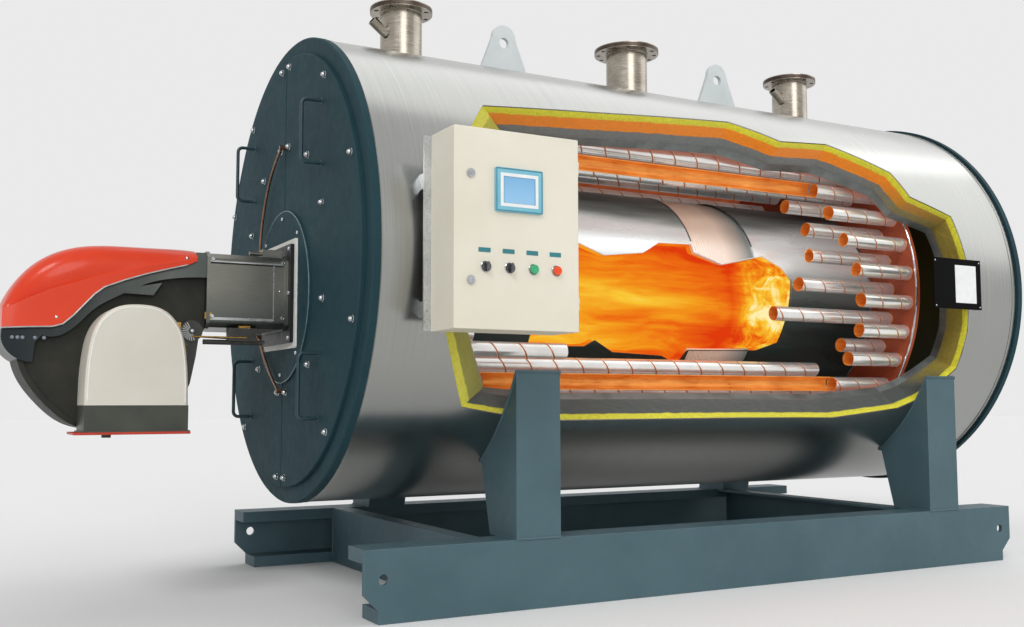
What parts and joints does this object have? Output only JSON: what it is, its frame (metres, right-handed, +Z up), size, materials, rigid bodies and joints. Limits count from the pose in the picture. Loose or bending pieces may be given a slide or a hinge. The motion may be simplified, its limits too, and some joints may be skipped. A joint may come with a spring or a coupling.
{
  "type": "industrial boiler",
  "caption": "Horizontal fire-tube steam boiler with pressure-jet burner, cut open along one side to show furnace and tubes, on a welded steel skid",
  "frame": {"origin": "mid width of the front cross member, on its floor face under the front edge", "axes": "+X from the burner end to the rear along the boiler, +Y to the closed side, -Y to the cutaway side, +Z up from the floor"},
  "size_m": [4.9135, 2.386, 2.7721],
  "materials": {
    "skid_paint": "satin",
    "door_paint": "satin",
    "cladding_steel": "brushed",
    "insulation_wool": "matt",
    "shell_steel": "satin",
    "tube_plate_steel": "matt",
    "furnace_steel": "brushed",
    "corrugated_steel": "satin",
    "tube_steel": "polished",
    "nozzle_steel": "brushed",
    "lug_steel": "satin",
    "gasket_white": "matt",
    "burner_black": "satin",
    "handle_steel": "satin",
    "copper": "dull",
    "cabinet_paint": "satin",
    "bracket_paint": "satin",
    "screen_blue": "gloss",
    "knob_metal": "polished",
    "green_plastic": "gloss",
    "red_plastic": "gloss",
    "hood_red": "gloss",
    "cast_aluminium": "cast",
    "housing_dark": "satin",
    "intake_beige": "satin",
    "intake_grey": "satin",
    "plate_black": "gloss"
  },
  "bodies": {
    "boiler": {"skid_rails": "skid_paint", "cross_members": "skid_paint", "saddle_legs": "skid_paint", "cladding": "cladding_steel", "insulation": "insulation_wool", "pressure_shell": "shell_steel", "tube_plate_front": "tube_plate_steel", "tube_plate_rear": "tube_plate_steel", "furnace_front": "furnace_steel", "furnace_corrugated": "corrugated_steel", "furnace_rear": "furnace_steel", "fire_tubes_outer": "tube_steel", "fire_tubes_inner": "tube_steel", "rear_cover": "door_paint", "front_plate": "door_paint", "door_half_near": "door_paint", "door_half_far": "door_paint", "burner_boss": "door_paint", "burner_gasket": "gasket_white", "burner_plate": "burner_black", "door_handles": "handle_steel", "impulse_pipes": "copper", "nozzle_front": "nozzle_steel", "nozzle_middle": "nozzle_steel", "nozzle_rear": "nozzle_steel", "lifting_lugs": "lug_steel", "cabinet_box": "cabinet_paint", "cabinet_bracket": "bracket_paint", "burner_duct": "cast_aluminium", "burner_hood": "hood_red", "burner_frame": "cast_aluminium", "fan_housing": "housing_dark", "air_intake_box": "intake_beige", "air_intake_base": "intake_grey", "burner_linkage": "housing_dark", "nameplate": "plate_black"},
    "cabinet_door": {"cabinet_door": "cabinet_paint", "touch_screen": "screen_blue"},
    "selector_left": {"selector_left": "knob_metal"},
    "selector_right": {"selector_right": "knob_metal"},
    "button_green": {"button_green": "green_plastic"},
    "button_red": {"button_red": "red_plastic"},
    "lock_upper": {"lock_upper": "knob_metal"},
    "lock_lower": {"lock_lower": "knob_metal"}
  },
  "joints": [
    {"name": "cabinet_door_hinge", "type": "hinge", "parent": "boiler", "child": "cabinet_door", "pos_m": [0.212, -1.281, 1.4778], "axis": [0, 0, 1], "range_deg": [0, 120]},
    {"name": "selector_left_turn", "type": "hinge", "parent": "cabinet_door", "child": "selector_left", "pos_m": [-0.2, -1.3, 1.33436], "axis": [0, -1, 0], "range_deg": [-45, 45]},
    {"name": "selector_right_turn", "type": "hinge", "parent": "cabinet_door", "child": "selector_right", "pos_m": [-0.0989, -1.3, 1.33436], "axis": [0, -1, 0], "range_deg": [-45, 45]},
    {"name": "button_green_press", "type": "slide", "parent": "cabinet_door", "child": "button_green", "axis": [0, 1, 0], "range_m": [0, 0.004], "stiffness_N_per_m": 1200, "springref_m": -0.001},
    {"name": "button_red_press", "type": "slide", "parent": "cabinet_door", "child": "button_red", "axis": [0, 1, 0], "range_m": [0, 0.004], "stiffness_N_per_m": 1200, "springref_m": -0.001},
    {"name": "lock_upper_turn", "type": "hinge", "parent": "cabinet_door", "child": "lock_upper", "pos_m": [-0.26205, -1.3, 1.67832], "axis": [0, -1, 0], "range_deg": [0, 90]},
    {"name": "lock_lower_turn", "type": "hinge", "parent": "cabinet_door", "child": "lock_lower", "pos_m": [-0.26205, -1.3, 1.28254], "axis": [0, -1, 0], "range_deg": [0, 90]}
  ]
}
